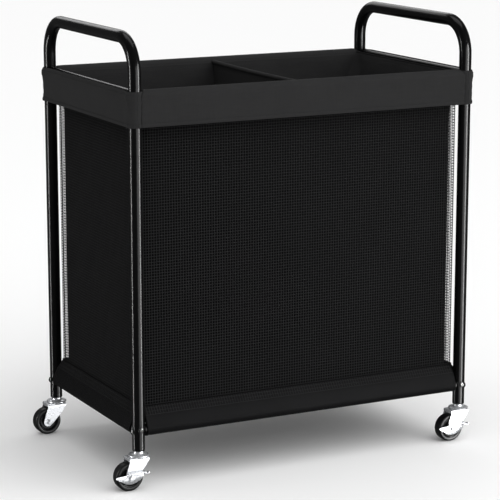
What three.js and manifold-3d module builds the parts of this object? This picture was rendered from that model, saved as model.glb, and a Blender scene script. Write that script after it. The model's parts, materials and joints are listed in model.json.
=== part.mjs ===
// A rolling laundry cart: two bent-tube side frames joined by rails, a two-compartment
// bag hung between them, and four swivel casters, the front two with brake levers.
// Millimetres, +Z up, +X along the long side, the front faces -Y.

import * as THREE from 'three';
import { mergeVertices } from 'three/addons/utils/BufferGeometryUtils.js';
import Module from 'manifold-3d';

const wasm = await Module();
wasm.setup();

// ---------- driving dimensions ----------

const HALF_X = 325;              // post axis to the middle, along the long side
const HALF_Y = 190;              // post axis to the middle, along the short side
const TUBE_RADIUS = 11;
const TUBE_WALL = 1.5;
const POST_BOTTOM_Z = 70.3;
const JOINT_Z = 652;             // where the handle plugs into the posts
const HANDLE_AXIS_Z = 777;
const HANDLE_BEND = 58;          // bend radius at the tube's axis
const SPIGOT_LENGTH = 40;

const RAIL_RADIUS = 10;
const RAIL_BORE = 8.5;
const RAIL_NECK = 7.6;           // radius of the rail's end, where two rails meet at a post
const RAIL_NECK_LENGTH = 6;
const RAIL_PLUG = 24;            // solid length at each rail end, where the bolt bites
const BASE_RAIL_Z = 104.5;
const BOLT_OFFSET = 2.2;          // bolts pass each other this far above and below the rails
const TOP_RAIL_Z = 681;
const CROSSBAR_RADIUS = 5;
const CROSSBAR_Z = 687;

const BOLT_RADIUS = 1.9;
const BOLT_HEAD_RADIUS = 5.2;
const BOLT_HEAD_HEIGHT = 3.4;
const BOLT_GRIP = 2 * TUBE_RADIUS + 20;

const BAND_BOTTOM_Z = 629.5;
const BAND_TOP_Z = 690;
const CLOTH = 1.2;               // fabric thickness
const NET_INSET = 10.8;           // post axis to the net's outer face
const NET_CORNER = 2.5;
const NET_THICKNESS = 1;
const NET_BOTTOM_Z = 113;
const LINING_INSET = 12.3;
const LINING_CORNER = 32.5;
const LINING_BOTTOM_Z = 112;
const FLOOR_SEAM_HALF = 2;       // the ridge that the divider stands on
const FLOOR_SEAM_RISE = 1;
const SEAM_Z = 138;              // where the base cloth meets the net
const DIVIDER_TOP_Z = 684.5;
const DIVIDER_ROLL = 3.5;
const DIVIDER_HALF = 0.75;
const BOARD_THICKNESS = 3;
const BOARD_CORNER = 30;
const SLEEVE_SHORT = 1.3;         // how far a sleeve's end stays from the post

const TRAIL = 20.5;              // swivel axis to wheel axis
const WHEEL_RADIUS = 25;
const WHEEL_HALF_WIDTH = 10;
const AXLE_RADIUS = 3;
const FORK_INNER = 12;           // half the space between the fork's legs
const FORK_SHEET = 2;
const CROWN_TOP_Z = 58.8;
const CROWN_RADIUS = 17.4;
const CUP_RADIUS = 18.4;           // the fixed bearing cup over the crown
const CUP_HEIGHT = 4.6;
const COLLAR_RADIUS = 9;
const CROWN_REAR = 22;
const CROWN_LIP = 5.5;            // depth of the turned-down rear lip
const LEG_END_RADIUS = 8;
const STEM_RADIUS = 5.5;
const STEM_TOP_Z = 92;
const RIVET_RADIUS = 4;
const SOCKET_FLANGE = 1.6;
const SOCKET_DEPTH = 27;
const HUB_HALF_WIDTH = 11.4;
const HUB_RADIUS = 7;
const RIM_RADIUS = 18;
const HEX_RADIUS = 5;
const HEX_HEAD = 3.6;
const HEX_NUT = 4.2;
const LEVER_SHEET = 1.6;
const PEDAL_Z = 5.8;             // the brake pedal's height over the axle
const PEDAL_REACH = 7;

const GAP = 0.3;                 // clearance between touching pieces
const ROUND = 16;                // sides of a tube
const COARSE = 12;               // sides of a bore or a small bolt
const HOLE = 8;                  // sides of a bolt hole
const FINE = 20;                 // sides of a wheel
const BEND_STEPS = 5;

// ---------- materials ----------

const finishes = {
  frame_black: { color: 0x141414, roughness: 0.3, metalness: 0.4 },
  zinc: { color: 0xb4b8bc, roughness: 0.3, metalness: 1.0 },
  black_plastic: { color: 0x121212, roughness: 0.5, metalness: 0.0 },
  band_cloth: { color: 0x2c2c2c, roughness: 0.9, metalness: 0.0 },
  base_cloth: { color: 0x1a1a1a, roughness: 0.85, metalness: 0.0 },
  net: { color: 0x0d0d0d, roughness: 0.9, metalness: 0.0 },
  lining_cloth: { color: 0x080808, roughness: 0.95, metalness: 0.0 },
  wheel_black: { color: 0x0e0e0e, roughness: 0.45, metalness: 0.0 },
};
const materials = {};
for (const [name, look] of Object.entries(finishes)) {
  materials[name] = new THREE.MeshStandardMaterial({ name, ...look });
}

// ---------- helpers ----------

function solid(geometry) {
  const bare = geometry.clone();
  bare.deleteAttribute('normal');
  bare.deleteAttribute('uv');
  const merged = mergeVertices(bare, 1e-4);
  return new wasm.Manifold(new wasm.Mesh({
    numProp: 3,
    vertProperties: new Float32Array(merged.attributes.position.array),
    triVerts: new Uint32Array(merged.index.array),
  }));
}

function surface(shape) {
  const mesh = shape.getMesh();
  const geometry = new THREE.BufferGeometry();
  geometry.setAttribute('position', new THREE.BufferAttribute(mesh.vertProperties, 3));
  geometry.setIndex(new THREE.BufferAttribute(mesh.triVerts, 1));
  geometry.computeVertexNormals();
  return geometry;
}

// A cylinder centred on a point, along the axis named 'x', 'y' or 'z'.
function rod(axis, radius, length, at = [0, 0, 0], sides = ROUND) {
  const geometry = new THREE.CylinderGeometry(radius, radius, length, sides);
  if (axis === 'x') geometry.rotateZ(Math.PI / 2);
  if (axis === 'z') geometry.rotateX(Math.PI / 2);
  return solid(geometry.translate(...at));
}

function block(low, high) {
  const size = high.map((value, i) => value - low[i]);
  const middle = high.map((value, i) => (value + low[i]) / 2);
  return solid(new THREE.BoxGeometry(...size).translate(...middle));
}

// A profile of [radius, height] points turned round the Z axis.
function turned(profile, sides = ROUND) {
  const points = profile.map(([radius, height]) => new THREE.Vector2(radius, height));
  return new THREE.LatheGeometry(points, sides).rotateX(Math.PI / 2);
}

// An outline in the XY plane raised from z = low to z = high.
function raised(shape, low, high, curveSegments = 6) {
  const options = { depth: high - low, bevelEnabled: false, curveSegments };
  return new THREE.ExtrudeGeometry(shape, options).translate(0, 0, low);
}

// An outline drawn in (across, up) and run along Y between two ends.
function runAlongY(shape, from, to, curveSegments = 8) {
  return raised(shape, -to, -from, curveSegments).rotateX(Math.PI / 2);
}

function roundedRectangle(halfX, halfY, radius) {
  const shape = new THREE.Shape();
  shape.absarc(halfX - radius, halfY - radius, radius, 0, Math.PI / 2);
  shape.absarc(radius - halfX, halfY - radius, radius, Math.PI / 2, Math.PI);
  shape.absarc(radius - halfX, radius - halfY, radius, Math.PI, 1.5 * Math.PI);
  shape.absarc(halfX - radius, radius - halfY, radius, 1.5 * Math.PI, 2 * Math.PI);
  shape.closePath();
  return shape;
}

function part(name, geometry, finish) {
  const mesh = new THREE.Mesh(geometry, materials[finish]);
  mesh.name = name;
  return mesh;
}

// ---------- frame ----------

// A post stands on z = 0 of its own frame. The two bolt holes cross at different heights.
function postGeometry() {
  const height = JOINT_Z - POST_BOTTOM_Z;
  const middle = [0, 0, height / 2];
  const wall = rod('z', TUBE_RADIUS, height, middle)
    .subtract(rod('z', TUBE_RADIUS - TUBE_WALL, height + 2, middle, COARSE));
  const reach = 2 * TUBE_RADIUS + 2;
  const hole = BOLT_RADIUS + GAP;
  const railHeight = BASE_RAIL_Z - POST_BOTTOM_Z;
  return surface(wall
    .subtract(rod('x', hole, reach, [0, 0, railHeight - BOLT_OFFSET], HOLE))
    .subtract(rod('y', hole, reach, [0, 0, railHeight + BOLT_OFFSET], HOLE)));
}

// The handle's axis, in the YZ plane, from one joint up, across and down to the other.
function handleStops() {
  const foot = JOINT_Z + GAP;
  const turn = HANDLE_AXIS_Z - HANDLE_BEND;
  const flat = HALF_Y - HANDLE_BEND;
  const at = (y, z) => new THREE.Vector3(0, y, z);
  const bend = (side) => {
    const steps = [];
    for (let i = 0; i <= BEND_STEPS; i += 1) {
      const angle = (i / BEND_STEPS) * (Math.PI / 2);
      const y = flat + HANDLE_BEND * Math.cos(angle);
      steps.push(at(side * y, turn + HANDLE_BEND * Math.sin(angle)));
    }
    return steps;
  };
  return [at(-HALF_Y, foot), ...bend(-1), ...bend(1).reverse(), at(HALF_Y, foot)];
}

// A tube swept through the path's own corner points, so no step is wasted on straight runs.
function sweptTube(stops, outer, sides) {
  const positions = [];
  const triangles = [];
  const across = new THREE.Vector3(1, 0, 0);
  stops.forEach((point, i) => {
    const before = stops[Math.max(i - 1, 0)];
    const after = stops[Math.min(i + 1, stops.length - 1)];
    const into = point.clone().sub(before).normalize();
    const out = after.clone().sub(point).normalize();
    const along = into.clone().add(out).normalize();
    const half = i > 0 && i < stops.length - 1 ? Math.cos(into.angleTo(out) / 2) : 1;
    const up = new THREE.Vector3().crossVectors(along, across).divideScalar(half);
    for (let k = 0; k < sides; k += 1) {
      const angle = (k / sides) * 2 * Math.PI;
      const corner = point.clone()
        .addScaledVector(across, outer * Math.cos(angle))
        .addScaledVector(up, outer * Math.sin(angle));
      positions.push(corner.x, corner.y, corner.z);
    }
  });
  const last = (stops.length - 1) * sides;
  for (let i = 0; i < stops.length - 1; i += 1) {
    for (let k = 0; k < sides; k += 1) {
      const a = i * sides + k;
      const b = i * sides + ((k + 1) % sides);
      triangles.push(a, b, b + sides, a, b + sides, a + sides);
    }
  }
  for (let k = 1; k < sides - 1; k += 1) {
    triangles.push(0, k + 1, k);
    triangles.push(last, last + k, last + k + 1);
  }
  const geometry = new THREE.BufferGeometry();
  geometry.setAttribute('position', new THREE.Float32BufferAttribute(positions, 3));
  geometry.setIndex(triangles);
  return geometry;
}

// A handle is a bent tube whose two ends are drawn down to spigots that enter the posts.
function handleGeometry() {
  const stops = handleStops();
  const inner = stops.map((point) => point.clone());
  inner[0].z -= 1;
  inner[inner.length - 1].z -= 1;
  let handle = solid(sweptTube(stops, TUBE_RADIUS, ROUND))
    .subtract(solid(sweptTube(inner, TUBE_RADIUS - TUBE_WALL, COARSE)));
  const snug = TUBE_RADIUS - TUBE_WALL - GAP;
  const bore = snug - TUBE_WALL;
  const foot = JOINT_Z + GAP;
  const shoulder = foot + 2 * RAIL_NECK_LENGTH;
  const midWall = TUBE_RADIUS - TUBE_WALL / 2;
  const spigot = solid(turned([
    [bore, foot - SPIGOT_LENGTH],
    [snug, foot - SPIGOT_LENGTH],
    [snug, foot],
    [midWall, foot],
    [midWall, shoulder],
    [bore, shoulder],
    [bore, foot - SPIGOT_LENGTH],
  ], COARSE));
  for (const side of [-1, 1]) {
    const y = side * HALF_Y;
    const inward = y - side * TUBE_RADIUS;
    handle = handle
      .add(spigot.translate([0, y, 0]))
      .subtract(rod('x', BOLT_RADIUS + GAP, 2 * TUBE_RADIUS + 2, [0, y, TOP_RAIL_Z], HOLE))
      .subtract(rod('y', CROSSBAR_RADIUS + GAP, 8, [0, inward, CROSSBAR_Z], COARSE));
  }
  return surface(handle);
}

function crossbarGeometry() {
  const half = HALF_Y - TUBE_RADIUS + TUBE_WALL + 1;
  return surface(rod('y', CROSSBAR_RADIUS, 2 * half, [0, 0, 0], COARSE));
}

// A rail along X, hollowed to the post's round at each end, with a bolt hole into its bore.
function railGeometry(half, boltHeight = 0) {
  let rail = rod('x', RAIL_RADIUS, 2 * (half - TUBE_RADIUS - RAIL_NECK_LENGTH))
    .add(rod('x', RAIL_NECK, 2 * (half - TUBE_RADIUS / 2)));
  const bore = half - TUBE_RADIUS - RAIL_PLUG;
  rail = rail.subtract(rod('x', RAIL_BORE, 2 * bore, [0, 0, 0], COARSE));
  for (const side of [-1, 1]) {
    const notch = rod('z', TUBE_RADIUS + GAP, 4 * RAIL_RADIUS, [side * half, 0, 0]);
    const reach = half - bore + 2;
    const middle = side * (bore - 2 + reach / 2);
    rail = rail.subtract(notch)
      .subtract(rod('x', BOLT_RADIUS + GAP, reach, [middle, 0, boltHeight], HOLE));
  }
  return surface(rail);
}

// A pan-head bolt along +X whose head sits on the tube's outer side, at the origin's left.
function boltGeometry() {
  const seat = -TUBE_RADIUS - GAP;
  const dome = [];
  for (let i = 0; i <= 3; i += 1) {
    const angle = (i / 3) * (Math.PI / 2);
    const rise = BOLT_HEAD_HEIGHT * (0.45 + 0.55 * Math.cos(angle));
    dome.push([BOLT_HEAD_RADIUS * Math.sin(angle), seat - rise]);
  }
  const profile = [
    ...dome,
    [BOLT_HEAD_RADIUS, seat],
    [BOLT_RADIUS, seat],
    [BOLT_RADIUS, seat + BOLT_GRIP],
    [0, seat + BOLT_GRIP],
  ];
  return turned(profile, COARSE).rotateY(Math.PI / 2);
}

function addFrame(cart) {
  const corners = [
    ['front_left', -1, -1],
    ['front_right', 1, -1],
    ['back_left', -1, 1],
    ['back_right', 1, 1],
  ];
  for (const [name, sideX, sideY] of corners) {
    const x = sideX * HALF_X;
    const y = sideY * HALF_Y;
    const post = part(`post_${name}`, postGeometry(), 'frame_black');
    post.position.set(x, y, POST_BOTTOM_Z);
    const bolts = [
      [`long_rail_bolt_${name}`, BASE_RAIL_Z - BOLT_OFFSET, sideX < 0 ? 0 : Math.PI],
      [`short_rail_bolt_${name}`, BASE_RAIL_Z + BOLT_OFFSET,
        sideY < 0 ? Math.PI / 2 : -Math.PI / 2],
      [`top_rail_bolt_${name}`, TOP_RAIL_Z, sideX < 0 ? 0 : Math.PI],
    ];
    for (const [label, z, turn] of bolts) {
      const bolt = part(label, boltGeometry(), 'frame_black');
      bolt.position.set(x, y, z);
      bolt.rotation.z = turn;
      cart.add(bolt);
    }
    cart.add(post);
    addCaster(cart, name, x, y, sideY);
  }
  for (const [name, side] of [['left', -1], ['right', 1]]) {
    const x = side * HALF_X;
    const handle = part(`handle_${name}`, handleGeometry(), 'frame_black');
    handle.position.x = x;
    const crossbar = part(`crossbar_${name}`, crossbarGeometry(), 'frame_black');
    crossbar.position.set(x, 0, CROSSBAR_Z);
    const rail = part(`bottom_rail_${name}`, railGeometry(HALF_Y, BOLT_OFFSET), 'frame_black');
    rail.position.set(x, 0, BASE_RAIL_Z);
    rail.rotation.z = Math.PI / 2;
    cart.add(handle, crossbar, rail);
  }
  for (const [name, side] of [['front', -1], ['back', 1]]) {
    for (const [level, z, bolt] of [['bottom', BASE_RAIL_Z, -BOLT_OFFSET], ['top', TOP_RAIL_Z, 0]]) {
      const rail = part(`${level}_rail_${name}`, railGeometry(HALF_X, bolt), 'frame_black');
      rail.position.set(0, side * HALF_Y, z);
      cart.add(rail);
    }
  }
}

// ---------- casters ----------

// The plastic insert in the post's foot, in the cart's heights.
function socketGeometry() {
  const outer = TUBE_RADIUS - TUBE_WALL - GAP;
  const foot = POST_BOTTOM_Z - GAP;
  const bore = STEM_RADIUS + GAP;
  const under = foot - SOCKET_FLANGE;
  return turned([
    [bore, under],
    [TUBE_RADIUS, under],
    [TUBE_RADIUS, foot],
    [outer, foot],
    [outer, foot + SOCKET_DEPTH],
    [bore, foot + SOCKET_DEPTH],
    [bore, under],
  ], COARSE);
}

// The fixed stem: a shank in the socket, a collar, a bearing cup and a rivet through the crown.
function stemGeometry() {
  const cupLow = CROWN_TOP_Z + GAP;
  const cupHigh = POST_BOTTOM_Z - SOCKET_FLANGE - 2 * GAP;
  const crownLow = CROWN_TOP_Z - FORK_SHEET;
  return turned([
    [0, crownLow - 2.6],
    [5.5, crownLow - 2.6],
    [6.5, crownLow - 1.4],
    [6.5, crownLow - GAP],
    [RIVET_RADIUS, crownLow - GAP],
    [RIVET_RADIUS, cupLow],
    [CUP_RADIUS - 1, cupLow],
    [CUP_RADIUS, cupLow + 1],
    [CUP_RADIUS - 0.6, cupLow + 2.4],
    [COLLAR_RADIUS, cupLow + CUP_HEIGHT],
    [COLLAR_RADIUS, cupHigh],
    [STEM_RADIUS, cupHigh],
    [STEM_RADIUS, STEM_TOP_Z - 2],
    [STEM_RADIUS - 1.5, STEM_TOP_Z],
    [0, STEM_TOP_Z],
  ]);
}

// One fork leg's outline in (x, z): wide at the crown, narrowing back to the axle.
function legOutline() {
  const shape = new THREE.Shape();
  shape.moveTo(-CROWN_REAR - 1, CROWN_TOP_Z - 1);
  shape.lineTo(-TRAIL - 9.5, WHEEL_RADIUS + 2);
  shape.absarc(-TRAIL - 1.5, WHEEL_RADIUS, LEG_END_RADIUS, Math.PI * 0.93, Math.PI * 1.75, false);
  shape.lineTo(3, 38);
  shape.lineTo(13.5, CROWN_TOP_Z - 1);
  shape.closePath();
  return shape;
}

// The fork: crown disc with a squared rear and a turned-down lip, two legs, axle holes.
function forkGeometry() {
  const low = CROWN_TOP_Z - FORK_SHEET;
  const outer = FORK_INNER + FORK_SHEET;
  const leg = legOutline();
  const hole = AXLE_RADIUS + GAP;
  return surface(rod('z', CROWN_RADIUS, CROWN_TOP_Z - low, [0, 0, (CROWN_TOP_Z + low) / 2], FINE)
    .add(block([-CROWN_REAR - 2, -outer, low], [0, outer, CROWN_TOP_Z]))
    .add(block([-CROWN_REAR - 2, -outer, CROWN_TOP_Z - CROWN_LIP],
      [-CROWN_REAR, outer, CROWN_TOP_Z]))
    .add(solid(runAlongY(leg, -outer, -FORK_INNER)))
    .add(solid(runAlongY(leg, FORK_INNER, outer)))
    .subtract(rod('z', RIVET_RADIUS + GAP, 4 * FORK_SHEET, [0, 0, low], COARSE))
    .subtract(rod('y', hole, 4 * outer, [-TRAIL, 0, WHEEL_RADIUS], HOLE)));
}

// The wheel turns about Y; its profile is closed round the bore.
function wheelGeometry() {
  const bore = AXLE_RADIUS + GAP;
  const w = WHEEL_HALF_WIDTH;
  const half = [
    [bore, HUB_HALF_WIDTH],
    [HUB_RADIUS, HUB_HALF_WIDTH],
    [HUB_RADIUS + 1, w - 2.5],
    [RIM_RADIUS, w - 2.5],
    [RIM_RADIUS + 1, w],
    [WHEEL_RADIUS - 2, w],
    [WHEEL_RADIUS, w - 3],
  ];
  const mirrored = half.map(([radius, z]) => [radius, -z]);
  const profile = [...mirrored, ...half.reverse(), mirrored[0]];
  return turned(profile, FINE).rotateX(-Math.PI / 2);
}

// The axle bolt along Y with a hex head and a nut; the head side may carry a lever.
function axleGeometry(headSide, seat) {
  const nutSeat = FORK_INNER + FORK_SHEET + GAP;
  const tip = nutSeat + HEX_NUT + 1.3;
  const headEnd = seat + HEX_HEAD - GAP;
  const shank = [0, headSide * (headEnd - tip) / 2, 0];
  const head = [0, headSide * (seat + HEX_HEAD / 2), 0];
  const nut = [0, -headSide * (nutSeat + HEX_NUT / 2), 0];
  return surface(rod('y', AXLE_RADIUS, headEnd + tip, shank, HOLE)
    .add(rod('y', HEX_RADIUS, HEX_HEAD, head, 6))
    .add(rod('y', HEX_RADIUS, HEX_NUT, nut, 6)));
}

// The brake lever: a side plate over the lower wheel, a pedal flange and a lifting tab.
function leverGeometry(side) {
  const shape = new THREE.Shape();
  shape.moveTo(22, 5);
  shape.lineTo(-3, 6);
  shape.lineTo(-17, 2.5);
  shape.lineTo(-27, 2.2);
  shape.lineTo(-28, -1);
  shape.quadraticCurveTo(-17, -12.5, -4, -12.5);
  shape.quadraticCurveTo(15, -11, 22, 5);
  shape.closePath();
  const inner = FORK_INNER + FORK_SHEET + GAP;
  const outer = inner + LEVER_SHEET;
  const plate = solid(runAlongY(shape, inner, outer));
  const top = PEDAL_Z + LEVER_SHEET;
  const pedal = block([-5, inner, PEDAL_Z], [26, outer + PEDAL_REACH, top]);
  const tab = block([24, outer, PEDAL_Z], [37, outer + 5, top])
    .add(block([33, outer, PEDAL_Z], [37, outer + 5, top + 2.2]));
  const web = block([-5, inner, PEDAL_Z - 1.8], [20, outer, PEDAL_Z + 0.6]);
  const lever = plate.add(web).add(pedal).add(tab)
    .subtract(rod('y', AXLE_RADIUS + GAP, 4 * outer, [0, 0, 0], HOLE));
  return surface(side < 0 ? lever.mirror([0, 1, 0]) : lever);
}

function addCaster(cart, name, x, y, sideY) {
  const braked = sideY < 0;
  const socket = part(`stem_socket_${name}`, socketGeometry(), 'black_plastic');
  const stem = part(`caster_stem_${name}`, stemGeometry(), 'zinc');
  const fork = part(`caster_fork_${name}`, forkGeometry(), 'zinc');
  for (const piece of [socket, stem, fork]) {
    piece.position.set(x, y, 0);
    cart.add(piece);
  }
  const legSeat = FORK_INNER + FORK_SHEET + GAP;
  const seat = braked ? legSeat + LEVER_SHEET + GAP : legSeat;
  const axle = part(`wheel_axle_${name}`, axleGeometry(sideY, seat), 'zinc');
  const wheel = part(`wheel_${name}`, wheelGeometry(), 'wheel_black');
  for (const piece of [axle, wheel]) {
    piece.position.set(x - TRAIL, y, WHEEL_RADIUS);
    cart.add(piece);
  }
  if (braked) {
    const lever = part(`brake_lever_${name}`, leverGeometry(sideY), 'zinc');
    lever.position.set(x - TRAIL, y, WHEEL_RADIUS);
    cart.add(lever);
  }
}

// ---------- bag ----------

// The net: four walls, open above and below.
function netGeometry() {
  const outline = roundedRectangle(HALF_X - NET_INSET, HALF_Y - NET_INSET, NET_CORNER);
  const inset = NET_INSET + NET_THICKNESS;
  outline.holes.push(roundedRectangle(HALF_X - inset, HALF_Y - inset, NET_CORNER - NET_THICKNESS));
  return raised(outline, NET_BOTTOM_Z, BAND_BOTTOM_Z - GAP, 2);
}

// The opaque lining: an open box with rounded upright corners and a seam across its floor.
function liningGeometry() {
  const halfX = HALF_X - LINING_INSET;
  const halfY = HALF_Y - LINING_INSET;
  const floor = LINING_BOTTOM_Z + CLOTH;
  const outside = raised(roundedRectangle(halfX, halfY, LINING_CORNER),
    LINING_BOTTOM_Z, BAND_BOTTOM_Z - GAP, 5);
  const inside = raised(
    roundedRectangle(halfX - CLOTH, halfY - CLOTH, LINING_CORNER - CLOTH),
    floor, BAND_BOTTOM_Z + 1, 5);
  const seam = block([-FLOOR_SEAM_HALF, CLOTH - halfY, floor],
    [FLOOR_SEAM_HALF, halfY - CLOTH, floor + FLOOR_SEAM_RISE]);
  return surface(solid(outside).subtract(solid(inside).subtract(seam)));
}

// The wall between the compartments, with a rolled top edge.
function dividerGeometry() {
  const low = LINING_BOTTOM_Z + CLOTH + FLOOR_SEAM_RISE + GAP;
  const inLining = HALF_Y - LINING_INSET - CLOTH - GAP;
  const inBand = HALF_Y - TUBE_RADIUS - CLOTH - 2 * GAP;
  const half = DIVIDER_HALF;
  return surface(block([-half, -inLining, low], [half, inLining, DIVIDER_TOP_Z])
    .add(block([-half, -inBand, BAND_BOTTOM_Z], [half, inBand, DIVIDER_TOP_Z]))
    .add(rod('y', DIVIDER_ROLL, 2 * inBand, [0, 0, DIVIDER_TOP_Z], COARSE)));
}

// The long band: cloth folded over the top rail, drawn across the rail and run along X.
function longBandGeometry() {
  const inner = RAIL_RADIUS + GAP;
  const outer = inner + CLOTH;
  const drop = BAND_BOTTOM_Z - TOP_RAIL_Z;
  const shape = new THREE.Shape();
  shape.moveTo(outer, drop);
  shape.absarc(0, 0, outer, 0, Math.PI, false);
  shape.lineTo(-outer, drop);
  shape.lineTo(-inner, drop);
  shape.absarc(0, 0, inner, Math.PI, 0, true);
  shape.lineTo(inner, drop);
  shape.closePath();
  const half = HALF_X - TUBE_RADIUS - CLOTH - 3 * GAP;
  return runAlongY(shape, -half, half).rotateZ(Math.PI / 2);
}

// The end band: one loop of cloth round both posts, notched where the top rails pass.
function endBandGeometry(side) {
  const loop = (radius) => roundedRectangle(radius, HALF_Y + radius, radius - 0.01);
  const inner = TUBE_RADIUS + GAP;
  const outline = loop(inner + CLOTH);
  outline.holes.push(loop(inner));
  let band = solid(raised(outline, BAND_BOTTOM_Z, BAND_TOP_Z, 5));
  const room = RAIL_RADIUS + GAP;
  for (const end of [-1, 1]) {
    const y = end * HALF_Y;
    const middle = -side * (TUBE_RADIUS + 1);
    band = band
      .subtract(rod('x', room, 8, [middle, y, TOP_RAIL_Z]))
      .subtract(block([middle - 4, y - room, TOP_RAIL_Z], [middle + 4, y + room, BAND_TOP_Z + 1]))
      .subtract(rod('x', BOLT_HEAD_RADIUS + GAP, 8, [-middle, y, TOP_RAIL_Z], COARSE))
      .subtract(block([-middle - 4, y - BOLT_HEAD_RADIUS - GAP, TOP_RAIL_Z],
        [-middle + 4, y + BOLT_HEAD_RADIUS + GAP, BAND_TOP_Z + 1]));
  }
  return surface(band);
}

// A base sleeve: cloth round a bottom rail, rising inward to the seam with the net.
function sleeveGeometry(half, railZ) {
  const inner = RAIL_RADIUS + GAP;
  const outer = inner + CLOTH;
  const inward = NET_INSET - CLOTH - GAP;
  const rise = SEAM_Z - railZ;
  const tangent = Math.atan2(rise, inward) + Math.acos(inner / Math.hypot(inward, rise));
  const shape = new THREE.Shape();
  shape.moveTo(0, -outer);
  shape.absarc(0, 0, outer, 1.5 * Math.PI, tangent, true);
  shape.lineTo(inward + CLOTH * Math.cos(tangent), rise + CLOTH * Math.sin(tangent));
  shape.lineTo(inward, rise);
  shape.absarc(0, 0, inner, tangent, 1.5 * Math.PI, false);
  shape.closePath();
  return runAlongY(shape, -half, half, 8);
}

function addBag(cart) {
  cart.add(part('bag_net', netGeometry(), 'net'));
  cart.add(part('bag_lining', liningGeometry(), 'lining_cloth'));
  cart.add(part('divider', dividerGeometry(), 'band_cloth'));
  for (const [name, side] of [['front', -1], ['back', 1]]) {
    const band = part(`top_band_${name}`, longBandGeometry(), 'band_cloth');
    band.position.set(0, side * HALF_Y, TOP_RAIL_Z);
    const sleeve = part(`base_sleeve_${name}`,
      sleeveGeometry(HALF_X - TUBE_RADIUS - SLEEVE_SHORT, BASE_RAIL_Z), 'base_cloth');
    sleeve.position.set(0, side * HALF_Y, BASE_RAIL_Z);
    sleeve.rotation.z = side < 0 ? Math.PI / 2 : -Math.PI / 2;
    cart.add(band, sleeve);
  }
  for (const [name, side] of [['left', -1], ['right', 1]]) {
    const band = part(`top_band_${name}`, endBandGeometry(side), 'band_cloth');
    band.position.x = side * HALF_X;
    const sleeve = part(`base_sleeve_${name}`,
      sleeveGeometry(HALF_Y - TUBE_RADIUS - SLEEVE_SHORT, BASE_RAIL_Z), 'base_cloth');
    sleeve.position.set(side * HALF_X, 0, BASE_RAIL_Z);
    sleeve.rotation.z = side < 0 ? 0 : Math.PI;
    cart.add(band, sleeve);
  }
  const board = roundedRectangle(HALF_X - LINING_INSET, HALF_Y - LINING_INSET, BOARD_CORNER);
  const top = LINING_BOTTOM_Z - GAP;
  cart.add(part('base_board', raised(board, top - BOARD_THICKNESS, top, 4), 'base_cloth'));
}

// ---------- assembly: the origin is the middle of the footprint, on the floor ----------

const cart = new THREE.Group();
addFrame(cart);
addBag(cart);
const bounds = new THREE.Box3().setFromObject(cart);
const middle = bounds.getCenter(new THREE.Vector3());
cart.position.set(-middle.x, -middle.y, -bounds.min.z);

export default cart;
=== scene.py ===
"""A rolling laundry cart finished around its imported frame: fine tubes, pressed casters,
sewn cloth bands, a knotted net over a black lining, and soft studio light.
Metres, +Z up, +X along the long side, the front faces -Y."""

import json
import math

import bpy
import numpy as np
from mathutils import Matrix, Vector, noise


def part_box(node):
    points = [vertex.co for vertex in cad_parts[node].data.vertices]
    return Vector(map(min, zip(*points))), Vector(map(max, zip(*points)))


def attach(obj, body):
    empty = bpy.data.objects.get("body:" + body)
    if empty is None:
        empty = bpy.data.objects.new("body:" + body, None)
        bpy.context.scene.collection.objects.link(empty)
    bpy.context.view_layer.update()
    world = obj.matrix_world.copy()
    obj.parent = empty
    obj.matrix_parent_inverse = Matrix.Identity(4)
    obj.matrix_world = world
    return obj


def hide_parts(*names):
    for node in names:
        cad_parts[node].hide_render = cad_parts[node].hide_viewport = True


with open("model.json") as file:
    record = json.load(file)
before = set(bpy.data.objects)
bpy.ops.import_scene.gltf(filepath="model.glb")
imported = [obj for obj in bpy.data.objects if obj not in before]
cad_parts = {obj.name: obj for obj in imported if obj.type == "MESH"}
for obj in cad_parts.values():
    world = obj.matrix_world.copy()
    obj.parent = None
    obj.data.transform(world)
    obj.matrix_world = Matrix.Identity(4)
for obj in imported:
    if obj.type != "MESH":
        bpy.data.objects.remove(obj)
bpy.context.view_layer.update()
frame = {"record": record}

MM = 0.001
TAU = 2 * math.pi
CORNERS = {"front_left": (-1, -1), "front_right": (1, -1), "back_left": (-1, 1), "back_right": (1, 1)}
ENDS = {"left": -1, "right": 1}
SIDES = {"front": -1, "back": 1}


# ---------- places and sizes read from the frame ----------

def middle(node):
    low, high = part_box(node)
    return (low + high) / 2


def extent(node):
    low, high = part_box(node)
    return high - low


POST = {corner: middle(f"post_{corner}") for corner in CORNERS}
CENTRE = (POST["front_left"] + POST["back_right"]) / 2
MIDDLE = np.array(CENTRE.xy)
HALF_X = (POST["front_right"].x - POST["front_left"].x) / 2
HALF_Y = (POST["back_left"].y - POST["front_left"].y) / 2
TUBE = extent("post_front_left").x / 2
WALL = 1.5 * MM
POST_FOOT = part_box("post_front_left")[0].z
JOINT_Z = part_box("post_front_left")[1].z
HANDLE_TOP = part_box("handle_left")[1].z
HANDLE_BEND = 58 * MM
LONG_RAIL = middle("bottom_rail_front")
SHORT_RAIL = middle("bottom_rail_left")
TOP_RAIL = middle("top_rail_front")
RAIL = extent("bottom_rail_front").z / 2
CROSSBAR = middle("crossbar_left")
CROSSBAR_RADIUS = extent("crossbar_left").z / 2
BAND_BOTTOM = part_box("top_band_left")[0].z
BAND_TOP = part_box("top_band_left")[1].z
FLOOR_TOP = frame["record"]["mounts"][0]["pos_m"][2]
DIVIDER_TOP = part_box("divider")[1].z
WHEEL_RADIUS = extent("wheel_front_left").z / 2
TRAIL = POST["front_left"].x - middle("wheel_front_left").x
CROWN_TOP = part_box("caster_fork_front_left")[1].z
SEAM_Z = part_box("base_sleeve_front")[1].z + 4.4 * MM


# ---------- camera: the long front side, from the left and above ----------

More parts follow.
